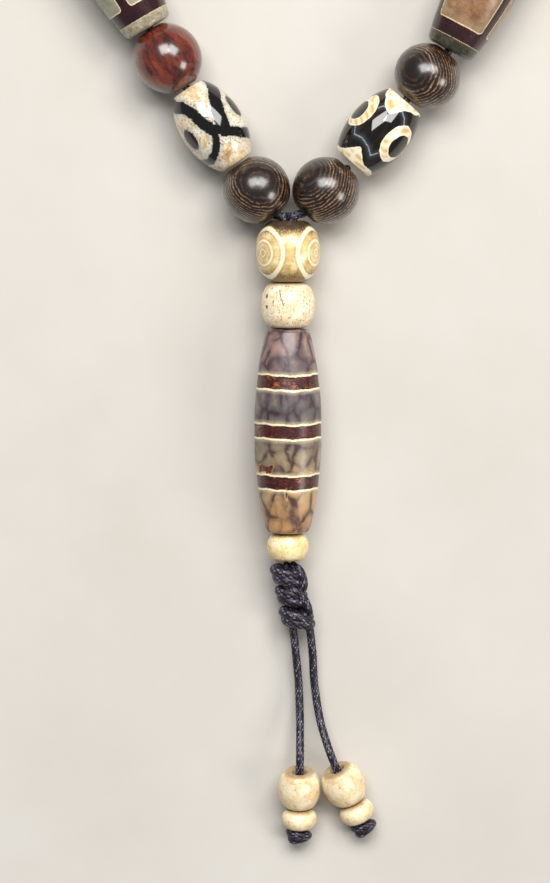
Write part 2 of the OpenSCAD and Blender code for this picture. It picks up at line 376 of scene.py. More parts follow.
def rosewood_paint():
    p = Paint("rosewood_look", 0.36, specular=0.3, coat=0.9, coat_roughness=0.18, coat_ior=1.6)
    grain = p.noise(0.7, 4.0, 0.6, 0.9, vector=p.move((1.2, 1.2, 0.35), (12, 0, 0)))
    cloud = p.noise(0.2, 4.0, 0.65, 0.5, vector=p.move((1, 1, 0.6), offset=(2, 5, 0)))
    pores = p.noise(3.0, 4.0, 0.7, vector=p.move((1.6, 1.6, 0.4), (12, 0, 0)))
    mixed = p.math("ADD", p.math("MULTIPLY", grain, 0.4), p.math("MULTIPLY", cloud, 0.6))
    body = p.ramp(mixed, (0.36, "#34130f"), (0.46, "#511d14"), (0.53, "#6c2b1b"), (0.64, "#8c4429"))
    streak = p.math("MULTIPLY", p.step(grain, 0.45, 0.37), p.step(pores, 0.42, 0.54))
    body = p.mix(p.math("MULTIPLY", streak, 0.75), body, "#220e0c")
    dots = p.math("MULTIPLY", p.step(pores, 0.62, 0.7), 0.4)
    p.base(p.mix(dots, body, "#9c6247"))
    p.rough(p.step(pores, -0.9, 3.4))
    p.bump(pores, 0.12, 0.03)
    return p.material


def light_agate_paint():
    p = Paint("light_agate_look", 0.09, specular=0.5, coat=0.5, coat_roughness=0.04, coat_ior=1.5)
    ragged = p.noise(2.2, 6.0, 0.8)
    edge = p.math("ADD", p.attribute("dark"), p.math("MULTIPLY", p.math("SUBTRACT", ragged, 0.5), 1.5))
    ink = p.step(edge, 0.07, -0.07)
    blotch = p.noise(0.32, 6.0, 0.7, 0.6, vector=p.move(offset=(3, 1, 7)))
    cream = p.ramp(blotch, (0.34, "#efe6cf"), (0.46, "#e0c79a"), (0.56, "#c6a06c"), (0.7, "#94703f"))
    pale = p.noise(0.55, 6.0, 0.75, vector=p.move(offset=(9, 4, 2)))
    cream = p.mix(p.math("MULTIPLY", p.step(pale, 0.46, 0.6), 0.7), cream, "#ece7d8")
    grey = p.noise(0.8, 5.0, 0.75, vector=p.move(offset=(1, 9, 5)))
    cream = p.mix(p.math("MULTIPLY", p.step(grey, 0.54, 0.68), 0.6), cream, "#8f8f7c")
    halo = p.math("MULTIPLY", p.step(edge, 0.9, 0.1), 0.65)
    cream = p.mix(halo, cream, "#b7bcb9")
    speck = p.noise(3.0, 6.0, 0.8, vector=p.move(offset=(5, 5, 1)))
    near = p.step(p.attribute("dark"), 2.4, 0.1)
    flecks = p.math("MULTIPLY", p.step(speck, 0.54, 0.6), p.math("ADD", 0.45, near))
    cream = p.mix(p.math("MULTIPLY", flecks, 0.75, clamp=True), cream, "#54483a")
    eye = p.step(p.attribute("eye"), 0.3, -0.4)
    black = p.mix(eye, p.ramp(ragged, (0.4, "#060505"), (0.7, "#140f0d")), "#190507")
    p.base(p.mix(ink, cream, black))
    return p.material


def dark_agate_paint():
    p = Paint("dark_agate_look", 0.06, specular=0.5, coat=0.6, coat_roughness=0.03, coat_ior=1.5)
    soft = p.noise(0.6, 4.0, 0.55)
    edge = p.math("ADD", p.attribute("tan"), p.math("MULTIPLY", p.math("SUBTRACT", soft, 0.5), 0.7))
    tan = p.step(edge, 0.05, -0.05)
    layers = p.wave(0.45, 3.5, 3.0, 0.7, vector=p.move((0.4, 0.4, 1), (15, 30, 0)))
    honey = p.ramp(layers, (0.1, "#ecdbb2"), (0.55, "#e2c997"), (0.95, "#d0ae78"))
    milky = p.noise(0.5, 3.0, 0.6, vector=p.move(offset=(1, 7, 3)))
    honey = p.mix(p.step(milky, 0.46, 0.6), honey, "#efe3c8")
    rim = p.math("MULTIPLY", p.step(edge, -0.3, -0.1), tan)
    honey = p.mix(p.math("MULTIPLY", rim, 0.75), honey, "#f3ead4")
    streaks = p.noise(0.5, 3.0, 0.6, 0.8, vector=p.move((1, 1, 0.4), (0, 25, 0)))
    smoke = p.ramp(streaks, (0.4, "#070504"), (0.56, "#170f0a"), (0.68, "#33200f"))
    haze = p.math("MULTIPLY", p.step(p.attribute("line"), 1.1, 0.1), 0.22)
    smoke = p.mix(haze, smoke, "#5d6064")
    line = p.math("MULTIPLY", p.step(p.attribute("line"), 0.2, 0.02), 0.8)
    smoke = p.mix(line, smoke, "#97a6b4")
    p.base(p.mix(tan, smoke, honey))
    return p.material


def window_dzi_paint(name, window_tones, end_tones, outline):
    """Maroon stone with pale-edged windows, and a plain band at each end."""
    p = Paint(name, 0.24, specular=0.5, coat=0.4, coat_roughness=0.18, coat_ior=1.5)
    ragged = p.math("MULTIPLY", p.math("SUBTRACT", p.noise(2.2, 4.0, 0.65), 0.5), 0.3)
    window = p.math("ADD", p.attribute("window"), ragged)
    end = p.math("ADD", p.attribute("end"), ragged)
    cloud = p.noise(0.4, 5.0, 0.65, 0.6)
    grit = p.noise(5.0, 4.0, 0.7)
    pane = p.ramp(cloud, (0.34, window_tones[0]), (0.5, window_tones[1]), (0.68, window_tones[2]))
    pane = p.mix(p.math("MULTIPLY", p.step(window, -2.4, -0.3), 0.4), pane, window_tones[3])
    maroon = p.ramp(cloud, (0.3, "#1b070b"), (0.6, "#310d13"), (0.8, "#4a1b19"))
    body = p.mix(p.step(window, 0.05, -0.05), maroon, pane)
    cap = p.ramp(p.noise(1.0, 5.0, 0.7), (0.38, end_tones[0]), (0.62, end_tones[1]))
    body = p.mix(p.step(end, 0.05, -0.05), body, cap)
    worn = p.step(p.noise(1.6, 5.0, 0.7, vector=p.move(offset=(6, 1, 2))), 0.34, 0.46)
    rims = p.math("MULTIPLY", p.step(p.math("ABSOLUTE", window), 0.15, 0.07), worn)
    lip = p.math("MULTIPLY", p.step(p.math("ABSOLUTE", end), 0.1, 0.03), worn)
    body = p.mix(p.math("MAXIMUM", rims, p.math("MULTIPLY", lip, 0.6)), body, outline)
    p.base(p.mix(p.math("MULTIPLY", p.step(grit, 0.6, 0.75), 0.2), body, "#cdbd9c"))
    p.rough(p.step(grit, -0.6, 2.6))
    p.bump(grit, 0.12, 0.03)
    return p.material


def barrel_paint():
    """Veined stone, cool grey at the guru end and tan at the far end, with three maroon bands."""
    p = Paint("banded_dzi_look", 0.32, specular=0.4, coat=0.35, coat_roughness=0.26, coat_ior=1.5)
    along = p.along()
    drift = p.noise(0.4, 4.0, 0.6, 0.3)
    tone = p.math("ADD", p.math("MULTIPLY", along, 1 / 36), p.math("MULTIPLY", drift, 0.4))
    stone = p.ramp(p.math("ADD", tone, 0.3, clamp=True), (0.08, "#bd8f5c"), (0.24, "#b2976c"),
                   (0.4, "#8f7e64"), (0.56, "#66615c"), (0.72, "#665a5f"), (0.95, "#9c7c74"))
    bent = p.bent_place((1, 1, 0.7), 0.5)
    veins = p.cell_edges(0.31, bent)
    finer = p.cell_edges(0.6, bent)
    patchy = p.step(p.noise(0.3, 2.0, 0.5), 0.34, 0.62)
    line = p.math("MULTIPLY", p.step(veins, 0.13, 0.0), p.math("ADD", 0.25, patchy), clamp=True)
    halo = p.math("MULTIPLY", p.step(veins, 0.32, 0.0), p.math("ADD", 0.2, p.math("MULTIPLY", patchy, 0.5)))
    minor = p.math("MULTIPLY", p.step(finer, 0.07, 0.0), patchy)
    smoky = p.math("MULTIPLY", p.step(p.noise(0.28, 4.0, 0.6, vector=p.move(offset=(8, 2, 1))), 0.46, 0.62),
                   p.step(along, -8.0, 4.0))
    stone = p.mix(p.math("MULTIPLY", smoky, 0.6), stone, "#46434d")
    stone = p.mix(p.math("MULTIPLY", p.step(veins, 0.15, 0.5), 0.25), stone, "#c3b090")
    stone = p.mix(halo, stone, "#4a373f")
    stone = p.mix(p.math("MULTIPLY", line, 0.75), stone, "#301b24")
    stone = p.mix(p.math("MULTIPLY", minor, 0.25), stone, "#4a2a28")
    ragged = p.math("MULTIPLY", p.math("SUBTRACT", p.noise(1.9, 5.0, 0.7), 0.5), 0.42)
    band = p.math("ADD", p.attribute("band"), ragged)
    wear = p.noise(1.0, 5.0, 0.7, vector=p.move((1.3, 1.3, 4)))
    maroon = p.ramp(wear, (0.36, "#1f090c"), (0.5, "#3f1412"), (0.6, "#5f2016"), (0.72, "#9a4a26"))
    worn = p.step(p.noise(0.3, 3.0, 0.6, vector=p.move(offset=(3, 0, 4))), 0.53, 0.62)
    worn = p.math("MULTIPLY", p.math("MULTIPLY", worn, p.step(wear, 0.42, 0.58)), 0.8)
    maroon = p.mix(worn, maroon, "#a5623a")
    maroon = p.mix(p.math("MULTIPLY", p.step(veins, 0.03, 0.0), 0.85), maroon, "#12070a")
    stone = p.mix(p.math("MULTIPLY", p.step(band, 1.1, 0.3), 0.4), stone, "#d9c9a2")
    stone = p.mix(p.step(band, 0.4, 0.3), stone, "#efe2bd")
    body = p.mix(p.step(band, 0.05, -0.03), stone, maroon)
    rough = p.math("MULTIPLY", p.math("SUBTRACT", p.noise(1.8, 4.0, 0.7), 0.5), 1.0)
    chip = p.math("ADD", p.attribute("chip"), rough)
    rust = p.ramp(p.noise(2.5, 4.0, 0.7), (0.4, "#2d100a"), (0.55, "#6f2f14"), (0.7, "#a8622f"))
    body = p.mix(p.math("MULTIPLY", p.step(chip, 0.2, 0.08), 0.6), body, "#c9a070")
    body = p.mix(p.step(chip, 0.06, -0.06), body, rust)
    p.base(body)
    p.rough(p.step(drift, -1.2, 2.8))
    p.bump(p.math("ADD", wear, p.math("MULTIPLY", line, -1.0)), 0.2, 0.04)
    return p.material


def guru_paint():
    """Honey-coloured bone with inlaid cream circles and dark, speckled ends."""
    p = Paint("guru_bone_look", 0.17, specular=0.5)
    along = p.along()
    speck = p.noise(3.2, 5.0, 0.75)
    cloud = p.noise(0.45, 4.0, 0.6)
    honey = p.ramp(cloud, (0.34, "#c3a164"), (0.5, "#dcc288"), (0.68, "#efe0ae"))
    foot = p.math("ADD", p.math("MULTIPLY", along, -1.0), p.math("MULTIPLY", speck, 5.0))
    honey = p.mix(p.math("MULTIPLY", p.step(foot, 5.1, 7.2), 0.85), honey, "#604524")
    top = p.step(p.math("ADD", along, p.math("MULTIPLY", speck, 3.2)), 4.3, 5.9)
    honey = p.mix(p.math("MULTIPLY", top, 0.95), honey, "#33201e")
    dots = p.step(p.noise(3.6, 3.0, 0.6, vector=p.move(offset=(3, 8, 2))), 0.62, 0.68)
    honey = p.mix(p.math("MULTIPLY", dots, 0.75), honey, "#4f3113")
    ring = p.attribute("ring")
    honey = p.mix(p.math("MULTIPLY", p.step(ring, 0.5, 0.1), 0.3), honey, "#9c7338")
    worn = p.math("ADD", ring, p.math("MULTIPLY", p.math("SUBTRACT", speck, 0.5), 0.5))
    p.base(p.mix(p.math("MULTIPLY", p.step(worn, 0.1, -0.08), 0.92), honey, "#f5ecca"))
    p.bump(speck, 0.08, 0.03)
    return p.material


def bone_paint(name, tones, speckle):
    p = Paint(name, 0.27, specular=0.45)
    cloud = p.noise(0.5, 4.0, 0.6, 0.4)
    body = p.ramp(cloud, (0.34, tones[0]), (0.5, tones[1]), (0.66, tones[2]))
    pores = p.noise(3.6, 4.0, 0.65, vector=p.move((1, 1, 0.7), offset=(2, 6, 1)))
    body = p.mix(p.math("MULTIPLY", p.step(pores, 0.56, 0.62), speckle), body, "#744a26")
    blot = p.noise(1.0, 5.0, 0.75, vector=p.move(offset=(7, 3, 9)))
    body = p.mix(p.math("MULTIPLY", p.step(blot, 0.57, 0.7), 0.55), body, "#b27a3d")
    # Painted shade: each end of the bead is painted darker brown, where it meets the next bead or the cord
    end_shade = p.step(p.attribute("rim"), 0.6, 0.0)
    body = p.mix(p.math("MULTIPLY", end_shade, 0.6), body, "#7a5228")
    body = p.mix(p.math("MULTIPLY", p.step(p.attribute("crack"), 0.14, 0.02), 0.9), body, "#553b2b")
    p.base(body)
    p.rough(p.step(pores, -0.5, 2.4))
    p.bump(pores, 0.1, 0.03)
    return p.material


MATERIALS = {
    "cord": cord_paint(),
    "wenge": wenge_paint(),
    "rosewood": rosewood_paint(),
    "light_agate": light_agate_paint(),
    "dark_agate": dark_agate_paint(),
    "green_dzi": window_dzi_paint("green_window_dzi_look", ("#656a66", "#858676", "#9c967a", "#a59a78"),
                                  ("#7b725c", "#aea288"), "#dccbaa"),
    "brown_dzi": window_dzi_paint("brown_window_dzi_look", ("#6b4a30", "#8a6546", "#a38666", "#8d7f66"),
                                  ("#24221b", "#46402f"), "#d6bd98"),
    "barrel": barrel_paint(),
    "guru": guru_paint(),
    "bone": bone_paint("bone_look", ("#dfc8a2", "#eedcb8", "#f7ebd2"), 0.8),
    "pale_bone": bone_paint("pale_bone_look", ("#dfc084", "#f0dca4", "#f8eabf"), 0.5),
    "tail_bone": bone_paint("tail_bone_look", ("#dcba8a", "#eed9ae", "#f8ebc8"), 0.4),
}


# ---------------------------------------------------------------- patterns on beads
def stroke(u, v, points, width):
    """How far (v, u) is outside a line of that width through points of (v, u)."""
    best = np.full(u.shape, 1e3)
    for (v0, u0), (v1, u1) in zip(points, points[1:]):
        dv, du = v1 - v0, u1 - u0
        t = np.clip(((v - v0) * dv + (u - u0) * du) / (dv * dv + du * du), 0, 1)
        best = np.minimum(best, np.hypot(v - v0 - t * dv, u - u0 - t * du))
    return best - width / 2


def ellipse(u, v, centre, half):
    """Roughly how far (v, u) is outside an ellipse."""
    return (np.hypot((v - centre[0]) / half[0], (u - centre[1]) / half[1]) - 1) * min(half)


def folded(u, v, radius):
    """Repeats the front half's drawing on the back half, turned end for end."""
    half = math.pi * radius / 2
    back = np.abs(u) > half
    return np.where(back, u - np.sign(u) * 2 * half, u), np.where(back, -v, v)


# Each black band's points as (v, u), and its width
LIGHT_AGATE_BANDS = (
    (((6.6, 7.8), (5, 5.4), (3.7, 3.8), (1.2, 2.4), (-0.8, 2.0), (-1.8, 1.6)), 2.5),
    (((6.8, -7.6), (5.5, -3.2), (3.7, -1.7), (1.3, -1.1), (-0.9, -0.1)), 2.1),
    (((-1, 0.6), (-2.4, 2.2), (-3.8, 4.4), (-4.6, 7), (-4.8, 9)), 1.85),
    (((-1, 0), (-3.1, -1), (-4.3, -2.5), (-5.1, -4.8), (-4.6, -8.6)), 1.4),
)
# The thin grey lines in the dark agate, as points of (v, u)
DARK_AGATE_LINES = (
    ((-1.4, -6.3), (-1.8, -4.5), (-3.1, -3.5), (-2.7, -1.7), (-3.2, 0.2), (-4.1, 1.7), (-2.9, 2.4)),
    ((3.1, -3.3), (3.9, -2.9), (4.3, -1.9)),
    ((5.4, 0.7), (4.7, 2.1), (3, 3.4)),
)
HAIR_LINE = 0.02


def light_agate(u, v, radius):
    u, v = folded(u, v, radius)
    bands = [stroke(u, v, points, width) for points, width in LIGHT_AGATE_BANDS]
    eye = np.minimum(ellipse(u, v, (0, -5.1), (2.05, 1.35)), ellipse(u, v, (0.8, 6.8), (2.2, 1.4)))
    return {"dark": np.minimum(np.minimum.reduce(bands), eye), "eye": eye}


def dark_agate(u, v, radius):
    u, v = folded(u, v, radius)
    cap_top = np.interp(u, (-7, -5.2, -3.9, -2.7, -1.6, -0.7, 0.3, 1.2, 3.6, 6),
                        (6.8, 5.9, 5.1, 4.2, 3.8, 3.7, 4.9, 5.8, 6.4, 6.8)) - v
    cap_foot = v - np.interp(u, (-8, -4, -2.3, -0.9, 0.6, 1.8, 3.6, 8),
                             (-6.6, -6.2, -5.1, -4, -5.2, -5.9, -6.1, -6.4))
    ring_right = np.maximum(ellipse(u, v, (0.4, 4.3), (3.7, 3.1)), -ellipse(u, v, (0.3, 5), (2.25, 2.1)))
    ring_left = np.maximum(ellipse(u, v, (1.15, -6.1), (3.5, 3.1)), -ellipse(u, v, (0.8, -6.7), (2.1, 1.8)))
    tan = np.minimum(np.minimum(cap_top, cap_foot) * 0.7, np.minimum(ring_right, ring_left))
    line = np.minimum.reduce([stroke(u, v, points, HAIR_LINE) for points in DARK_AGATE_LINES])
    return {"tan": tan, "line": line}


DZI_END_BAND = 2.1
DZI_WINDOW_START = 4.8
DZI_WINDOW_GAP = 2.2
DZI_WINDOWS_ROUND = 3


def window_dzi(u, v, radius):
    half_length = np.abs(v).max()
    end = half_length - DZI_END_BAND - np.abs(v)
    pitch = 2 * math.pi * radius / DZI_WINDOWS_ROUND
    across = np.abs((u + pitch / 2) % pitch - pitch / 2) - (pitch - DZI_WINDOW_GAP) / 2
    centre = 0.5 * (half_length - DZI_WINDOW_START)
    along = np.abs(np.abs(v) - centre - 0.55) - (centre - 0.55)
    corner = 0.7
    outside = np.hypot(np.maximum(across + corner, 0), np.maximum(along + corner, 0))
    window = outside + np.minimum(np.maximum(across, along) + corner, 0) - corner
    return {"window": window, "end": end}


# Where the middle of each band is along the barrel
BARREL_BANDS = (8.9, 0.2, -8.9)
BARREL_BAND_WIDTH = 2.25


def barrel_bands(u, v, radius):
    wave = 0.12 * np.sin(u * 0.5 + 1) + 0.05 * np.sin(u * 1.7)
    band = np.full(u.shape, 1e3)
    for place in BARREL_BANDS:
        band = np.minimum(band, np.abs(v - place + wave) - BARREL_BAND_WIDTH / 2)
    chip = np.maximum(np.abs(v + 6.45) - 0.6, np.abs(u + 5) - 1.9)
    chip = chip + 0.22 * np.sin(u * 2.1 + 1) * np.cos(v * 1.7)
    notch = ellipse(u, v, (-11, -0.3), (0.6, 0.2))
    return {"band": band, "chip": np.minimum(chip, notch)}


# The eyes' angles round the bead, and each circle's radius and width
GURU_EYES = (-52, 61)
GURU_RINGS = ((0.65, 0.2), (2.2, 0.38), (4.3, 0.75))


def guru_rings(u, v, radius):
    ring = np.full(u.shape, 1e3)
    for eye in GURU_EYES:
        turned = u - math.radians(eye) * radius
        distance = np.hypot(turned, (v + 0.2))
        for reach, width in GURU_RINGS:
            ring = np.minimum(ring, np.abs(distance - reach) - width / 2)
    return {"ring": ring}


def plain(u, v, radius):
    return {"rim": np.abs(v).max() - np.abs(v), "crack": np.full(u.shape, 9.0)}


def cracked(u, v, radius):
    marks = plain(u, v, radius)
    crack = stroke(u, v, ((2.9, -1.75), (1.6, -1.4), (0.9, -1.1), (0.1, -0.8)), 0.04)
    spots = np.minimum(ellipse(u, v, (1.7, -4.6), (0.3, 0.25)), ellipse(u, v, (-0.2, -4.4), (0.25, 0.25)))
    marks["crack"] = np.minimum(crack, spots)
    return marks


# ---------------------------------------------------------------- beads
def measure(node, centre, axis):
    """A CAD bead's length, middle radius, end radius and bore radius, in millimetres."""
    points = np.array([v.co for v in frame["nodes"][node].data.vertices], float)
    offset = (points - np.array(centre)) / MM
    axis = np.array(axis)
    v = offset @ axis
    r = np.linalg.norm(offset - v[:, None] * axis, axis=1)
    at_end = np.abs(v) > np.abs(v).max() - 0.02
    return 2 * np.abs(v).max(), r.max(), r[at_end].max(), r.min()


def bead_profile(length, r_mid, r_end, bore, roundness, rows, rim, lip):
    """Radius and height round the bead's section: bore, rounded mouth, side, mouth, bore."""
    half = length / 2
    drop = 1 - (r_end / r_mid) ** roundness
    t = -np.cos(np.linspace(0, math.pi, rows))
    side = []
    for x in t:
        r = r_mid * (1 - drop * abs(x) ** roundness) ** (1 / roundness)
        depth = min(half - half * abs(x), lip)
        side.append((r - lip + math.sqrt(lip ** 2 - (lip - depth) ** 2), half * x))
    r_end = r_end - lip
    turn = np.linspace(0, math.pi / 2, 6)
    low = [(bore + rim * (1 - math.cos(a)), -half + rim * (1 - math.sin(a))) for a in turn]
    face = [(bore + rim + (r_end - bore - rim) * f, -half) for f in (0.35, 0.7, 0.93)]
    mouth = low + face
    inside = [(bore, z) for z in np.linspace(half - rim, -half + rim, 8)[1:-1]]
    return mouth + side + [(r, -z) for r, z in mouth[::-1]] + inside


def place_matrix(centre, axis):
    """Local +Z along the axis and local +X up; +Y is then to the right of the axis seen from above."""
    z = Vector(axis).normalized()
    x = Vector((0, 0, 1))
    x = (x - z * x.dot(z)).normalized()
    y = z.cross(x)
    matrix = Matrix((x, y, z)).transposed().to_4x4()
    matrix.translation = Vector(centre)
    return matrix


def bead(node, centre, axis, material, pattern=plain, roundness=2.0, rows=60, around=96,
         rim=0.25, lip=0.2, turn=0.0, dents=0.03, seed=1, carve=None, grain=None):
    """A detailed bead that stands for the CAD one, with its pattern held as distances per point."""
    length, r_mid, r_end, bore = measure(node, centre, axis)
    profile = np.array(bead_profile(length, r_mid, r_end, bore, roundness, rows, rim, lip))
    phi = np.arange(around) * 2 * math.pi / around
    angle, radius = np.meshgrid(phi, profile[:, 0])
    height = np.repeat(profile[:, 1][:, None], around, axis=1)
    signed = (angle + math.radians(turn) + math.pi) % (2 * math.pi) - math.pi
    marks = pattern(signed * r_mid, height, r_mid)
    unit = np.stack([np.cos(angle), np.sin(angle)], axis=-1)
    outer = np.clip((radius - bore - rim) / max(r_end - bore - rim, 0.1), 0, 1)
    flat = np.stack([radius * unit[..., 0], radius * unit[..., 1], height], axis=-1).reshape(-1, 3)
    change = -dents * (1 + wobble(flat, 0.5, seed)).reshape(radius.shape) / 2
    if carve:
        change = change + carve(marks)
    radius = radius + change * outer
    points = np.stack([radius * unit[..., 0], radius * unit[..., 1], height], axis=-1).reshape(-1, 3)
    matrix = place_matrix(centre, axis)
    if grain is not None:
        pole = matrix.to_3x3().transposed() @ Vector(grain).normalized()
        bend = matrix.to_3x3().transposed() @ Vector(GRAIN_BEND)
        deep = points @ np.array(pole) + GRAIN_RADIUS
        marks["grain"] = (np.hypot(deep, points @ np.array(bend)) - GRAIN_RADIUS).reshape(radius.shape)
    faces = grid_faces(len(profile), around, closed_rows=True)
    obj = link_mesh(node + "_detail", points, faces,
                    attributes={k: np.broadcast_to(m, radius.shape).ravel() for k, m in marks.items()})
    obj.matrix_world = matrix
    obj.data.materials.append(material)
    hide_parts(node)
    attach(obj, BODY_OF[node])
    return obj


def carve_barrel(marks):
    """The bands are cut a little lower than the stone, and the chip is deeper."""
    band = 0.07 / (1 + np.exp(marks["band"] * 12))
    chip = 0.32 / (1 + np.exp(np.clip(marks["chip"] * 9, -30, 30)))
    return -band - chip


def carve_crack(marks):
    """The crack is a narrow groove."""
    return -0.06 * np.exp(-(np.clip(marks["crack"], 0, 5) / 0.08) ** 2)


def carve_rings(marks):
    """The inlaid circles stand a little proud."""
    return 0.05 / (1 + np.exp(np.clip(marks["ring"] * 20, -30, 30)))


def spin_place(node):
    """A bead's centre and axis, from the joint that it spins on."""
    joint = JOINTS[node + "_spin"]
    return joint["pos_m"], joint["axis"]


# The wood's layers are gently rolled, like growth rings, along this direction
GRAIN_BEND = (0.76, -0.65, 0)
GRAIN_RADIUS = 13
# Which way the layers of each wenge bead's wood face
WENGE_POLES = {
    "wenge_left_1": (0.1, 0.3, 0.95),
    "wenge_right_1": (-0.54, 0.5, 0.67),
    "wenge_right_2": (-0.5, 0.15, 0.85),
    "wenge_left_2": (0.7, -0.3, 0.6),
    "wenge_left_3": (0.2, 0.8, 0.5),
    "wenge_right_3": (-0.7, 0.4, 0.5),
    "wenge_right_4": (0.3, -0.5, 0.8),
    "wenge_top_left": (0.5, 0.6, 0.6),
}


def wood_beads():
    for i, (node, pole) in enumerate(WENGE_POLES.items()):
        bead(node, *spin_place(node), MATERIALS["wenge"], rows=80, around=120, seed=i + 10,
             dents=0.05, grain=pole)
    for i, node in enumerate(sorted(n for n in SLOT_OF if n.startswith("rosewood"))):
        bead(node, *spin_place(node), MATERIALS["rosewood"], rows=60, around=90, seed=i + 40)


# Which of the two agates each one is, and how far it is turned on the cord
AGATES = {
    "agate_left_1": ("light_agate", light_agate, 0),
    "agate_right_1": ("dark_agate", dark_agate, 0),
    "agate_left_2": ("dark_agate", dark_agate, 75),
    "agate_right_2": ("light_agate", light_agate, 130),
    "agate_left_3": ("light_agate", light_agate, -60),
    "agate_right_3": ("dark_agate", dark_agate, 150),
    "agate_top": ("light_agate", light_agate, 40),
}
# Which of the two window-pattern looks each one has, and how far it is turned
DZIS = {
    "dzi_left_1": ("green_dzi", 79),
    "dzi_right_1": ("brown_dzi", 9),
    "dzi_left_2": ("brown_dzi", 40),
    "dzi_right_2": ("green_dzi", -35),
    "dzi_left_3": ("green_dzi", 70),
    "dzi_right_3": ("brown_dzi", 20),
}


def stone_beads():
    for i, (node, (look, pattern, turn)) in enumerate(AGATES.items()):
        bead(node, *spin_place(node), MATERIALS[look], pattern, rows=90, around=144, turn=turn,
             roundness=2.0, dents=0.03, seed=60 + i, rim=0.3)
    for i, (node, (look, turn)) in enumerate(DZIS.items()):
        bead(node, *spin_place(node), MATERIALS[look], window_dzi, rows=110, around=120, turn=turn,
             dents=0.08, seed=80 + i, rim=0.3, lip=0.7)


def pendant_beads():
    bead("guru_bead", *spin_place("guru_bead"), MATERIALS["guru"], guru_rings, roundness=2.3,
         rows=90, around=160, carve=carve_rings, seed=101, rim=0.35)
    bead("bone_bead_upper", *spin_place("bone_bead_upper"), MATERIALS["bone"], cracked,
         roundness=2.4, rows=170, around=240, carve=carve_crack, seed=102, rim=0.35, dents=0.06)
    bead("barrel_bead", *spin_place("barrel_bead"), MATERIALS["barrel"], barrel_bands,
         rows=260, around=200, carve=carve_barrel, seed=103, rim=0.35, lip=0.6, dents=0.1)
    bead("bone_bead_lower", *spin_place("bone_bead_lower"), MATERIALS["pale_bone"],
         roundness=2.2, rows=60, around=110, seed=104, rim=0.3, dents=0.05)


def tail_beads():
    for i, side in enumerate(("left", "right")):
        large = "tail_bead_large_" + side
        low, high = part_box(large)
        centre = (low + high) / 2
        axis = JOINTS[side + "_tail_bead_slide"]["axis"]
        bead(large, centre, axis, MATERIALS["tail_bone"], roundness=2.3, rows=70, around=110,
             seed=120 + i, rim=0.4, dents=0.1)
        small = "tail_bead_small_" + side
        bead(small, *spin_place(small), MATERIALS["tail_bone"], rows=50, around=100,
             seed=130 + i, rim=0.3, dents=0.08)


# ---------------------------------------------------------------- cords and knots
# part.scad's layout has the guru bead's centre at x = 0, y = 0
LAYOUT_TO_PART = np.array((-1.1, -52.9, 0))
TAIL_LEFT = [
    (0.9, -67.7, 3), (1.2, -69.8, 2.9), (1.5, -73, 2.5), (1.9, -77, 2.2), (2.1, -81, 2.4),
    (2.2, -85, 3.3), (2.2, -88.5, 4.5), (2.2, -90.6, 5.2), (2.15, -92.4, 5.3), (2.1, -94.2, 4.9),
    (2.06, -97, 4), (2.03, -100.2, 3.2), (2, -104.3, 2.7),
]
TAIL_RIGHT = [
    (3.9, -67.7, 3), (4.2, -69.8, 2.9), (4.5, -73, 2.5), (4.7, -77, 2.2), (5.2, -81, 2.4),
    (5.9, -84.8, 3.3), (6.9, -88.1, 4.5), (7.6, -90.1, 5.2), (8.3, -91.9, 5.3), (9, -93.6, 4.9),
    (10.2, -96.2, 4), (11.6, -99.3, 3.2), (13.25, -102.9, 2.7),
]
YOKE_LEFT = [
    (-8.7, 15.1, 6), (-5.6, 10.7, 6), (-2.5, 6.72, 6), (-1.52, 6.3, 5.9), (-0.78, 5.3, 5.8),
    (-0.8, 3.5, 5.7), (-0.8, -30, 5.9), (-0.8, -49, 5.7), (-0.8, -52.5, 5.2), (-0.8, -55.1, 4.8),
]
YOKE_RIGHT = [
    (10.9, 15.1, 6), (6.7, 10.7, 6), (3.3, 7.1, 6), (1.55, 6.4, 5.9), (0.78, 5.3, 5.8),
    (0.8, 3.5, 5.7), (0.8, -30, 5.9), (0.8, -49, 5.7), (0.8, -52.5, 5.2), (0.8, -55.1, 4.8),
]


def laid_out(points):
    return np.array(points, float) + LAYOUT_TO_PART


def tails():
    """The two free cords, each with its end knot."""
    for side, route in (("left", TAIL_LEFT), ("right", TAIL_RIGHT)):
        path = smooth_path(laid_out(route), 0.12)
        # A short straight length that is hidden inside the lowest knot
        hidden = path[0] + (path[0] - path[6])[None, :] * np.arange(12, 0, -1)[:, None] * 0.2
        cord = braid("tail_cord_" + side + "_detail", np.vstack([hidden, path]))
        cord.data.materials.append(MATERIALS["cord"])
        knot = end_knot(side)
        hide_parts("tail_cord_" + side)
        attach(cord, "tail_" + side)


def join(name, pieces):
    """One object from several."""
    bpy.ops.object.select_all(action="DESELECT")
    for piece in pieces:
        piece.select_set(True)
    bpy.context.view_layer.objects.active = pieces[0]
    bpy.ops.object.join()
    pieces[0].name = name
    return pieces[0]


def wrap(name, centre, radii, tilt, heading=0.0, radius=0.8, turns=1.0, pitch=0.0, start=0.0):
    """A coil of cord round a line that runs towards -Y, leaned over by tilt degrees."""
    n = max(60, int(2 * math.pi * max(radii) * turns / 0.13))
    t = np.linspace(0, 2 * math.pi * turns, n) + math.radians(start)
    x, z = radii[0] * np.cos(t), radii[1] * np.sin(t)
    lean = math.tan(math.radians(tilt))
    y = x * lean - pitch * (t - t[0]) / (2 * math.pi)
    c, s = math.cos(math.radians(heading)), math.sin(math.radians(heading))
    return braid(name, np.stack([x * c - y * s, x * s + y * c, z], axis=1) + np.array(centre), radius=radius)


